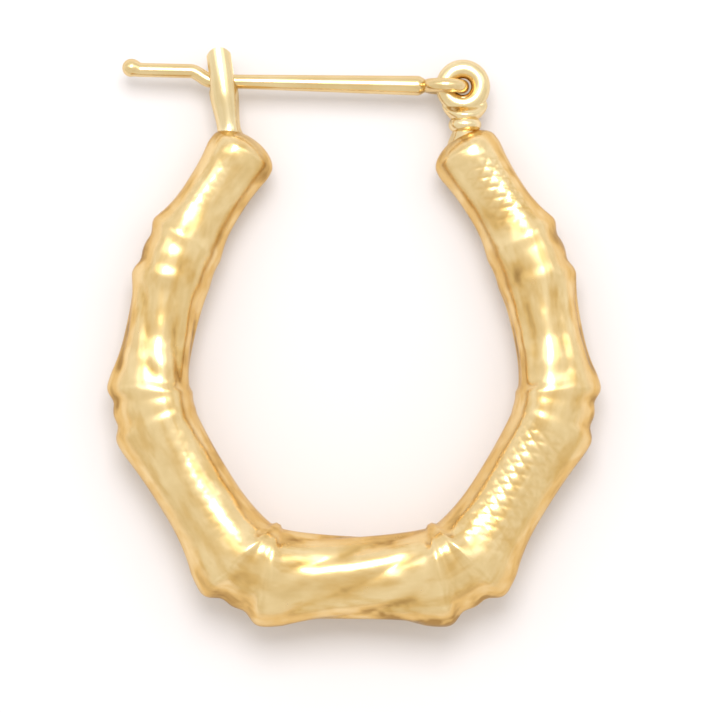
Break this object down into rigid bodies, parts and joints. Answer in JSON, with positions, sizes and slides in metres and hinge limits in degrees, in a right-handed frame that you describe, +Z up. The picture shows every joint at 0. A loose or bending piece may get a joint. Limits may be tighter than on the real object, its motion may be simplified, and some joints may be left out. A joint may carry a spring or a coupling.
{
  "type": "bamboo hoop earring",
  "caption": "Pear-shaped hoop earring of a tapering bamboo-jointed tube, closed across its open top by a hinged ear wire that snaps into a slotted catch post.",
  "frame": {"origin": "centre of the box around the earring, at the surface it lies on", "axes": "+Z up from the surface; +Y from the thick bottom of the hoop to its open end; +X from the catch to the hinge"},
  "size_m": [0.026, 0.0304, 0.0055],
  "materials": {
    "gold_hoop": "polished yellow gold with cut facets",
    "gold_wire": "polished yellow gold"
  },
  "bodies": {
    "hoop_body": {"hoop": "gold_hoop"},
    "wire_body": {"ear_wire": "gold_wire"}
  },
  "joints": [
    {"name": "wire_hinge", "type": "hinge", "parent": "hoop_body", "child": "wire_body", "pos_m": [0.00574, 0.01319, 0.00179], "axis": [0, -0.0386, -0.9993], "range_deg": [0, 100]}
  ]
}
